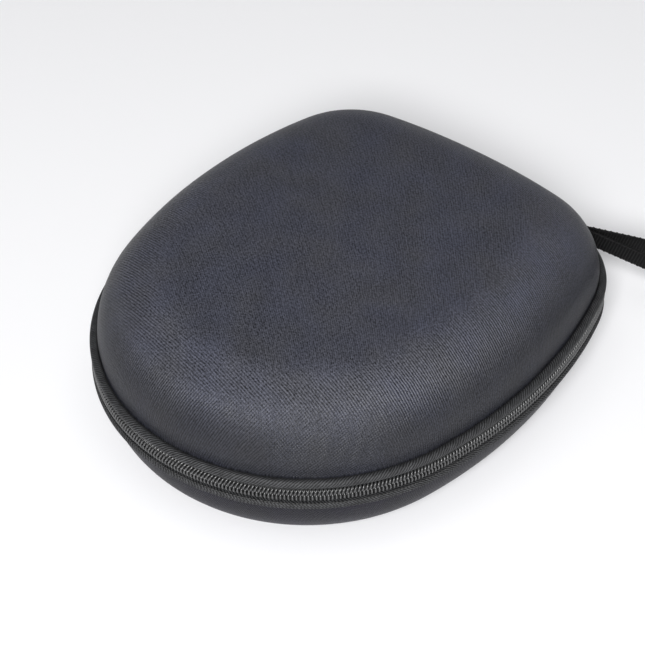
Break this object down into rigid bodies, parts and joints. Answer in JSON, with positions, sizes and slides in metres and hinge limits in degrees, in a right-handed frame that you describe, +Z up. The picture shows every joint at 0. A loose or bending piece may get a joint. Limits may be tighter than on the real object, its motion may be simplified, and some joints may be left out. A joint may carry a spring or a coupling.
{
  "type": "headphone carrying case",
  "caption": "Hard clamshell carrying case for headphones: zipped lid on a fabric hinge, zip sliders with pullers, a mesh pocket and a webbing wrist loop.",
  "frame": {"origin": "middle of the flat bottom face, on the table", "axes": "+Z up, +Y to the fabric hinge at the narrow end, +X to the right seen from the wide front end"},
  "size_m": [0.2574, 0.2772, 0.0722],
  "materials": {
    "shell_twill": "fine diagonal twill, charcoal",
    "welt_twill": "fine twill over a bead, charcoal",
    "lining": "brushed knit, black",
    "binding": "woven binding tape, black",
    "zip_tape": "woven zip tape, black",
    "zip_coil": "nylon coil, black, satin",
    "zip_stop": "black enamel",
    "slider_metal": "black enamel, worn at the edges",
    "grip": "moulded soft plastic, matte",
    "webbing": "ribbed nylon webbing, black",
    "net": "knitted net, black",
    "elastic": "ribbed elastic binding, black"
  },
  "bodies": {
    "base": {"base_shell": "shell_twill", "base_lining": "lining", "base_welt": "welt_twill", "base_edge_binding": "binding", "base_zip_tape": "zip_tape", "base_zip_coil": "zip_coil", "base_zip_stop_left": "zip_stop", "base_zip_stop_right": "zip_stop", "hinge_spine": "welt_twill", "strap_anchor": "webbing"},
    "lid": {"lid_shell": "shell_twill", "lid_lining": "lining", "lid_welt": "welt_twill", "lid_edge_binding": "binding", "lid_zip_tape": "zip_tape", "lid_zip_coil": "zip_coil", "lid_zip_stop_left": "zip_stop", "lid_zip_stop_right": "zip_stop", "pocket_net": "net", "pocket_elastic": "elastic"},
    "slider_rear": {"zip_slider_rear": "slider_metal"},
    "puller_rear": {"puller_tab_rear": "slider_metal", "puller_grip_rear": "grip"},
    "slider_front": {"zip_slider_front": "slider_metal"},
    "puller_front": {"puller_tab_front": "slider_metal", "puller_grip_front": "grip"},
    "strap_root": {"strap_tab": "webbing"},
    "strap": {"strap_loop": "webbing"}
  },
  "joints": [
    {"name": "lid_hinge", "type": "hinge", "parent": "base", "child": "lid", "pos_m": [0, 0.10674, 0.035], "axis": [-1, 0, 0], "range_deg": [0, 170], "deforming": ["hinge_spine"]},
    {"name": "zip_rear", "type": "hinge", "parent": "base", "child": "slider_rear", "pos_m": [0.11484, 0.01114, 0.035], "axis": [0, 0, -1], "range_deg": [0, 6]},
    {"name": "pull_rear", "type": "hinge", "parent": "slider_rear", "child": "puller_rear", "pos_m": [-0.09176, 0.03998, 0.035], "axis": [0, 0, 1], "range_deg": [0, 150]},
    {"name": "zip_front", "type": "hinge", "parent": "base", "child": "slider_front", "pos_m": [0.11484, 0.01114, 0.035], "axis": [0, 0, 1], "range_deg": [0, 16]},
    {"name": "pull_front", "type": "hinge", "parent": "slider_front", "child": "puller_front", "pos_m": [-0.09324, 0.02588, 0.035], "axis": [0, 0, -1], "range_deg": [0, 150]},
    {"name": "strap_swing", "type": "hinge", "parent": "base", "child": "strap_root", "pos_m": [0.04566, 0.10425, 0.0368], "axis": [0, 0, 1], "range_deg": [-25, 10]},
    {"name": "strap_lift", "type": "hinge", "parent": "strap_root", "child": "strap", "pos_m": [0.0491, 0.10605, 0.03585], "axis": [0.4127, -0.8893, -0.197], "range_deg": [0, 75], "deforming": ["strap_tab"]}
  ]
}
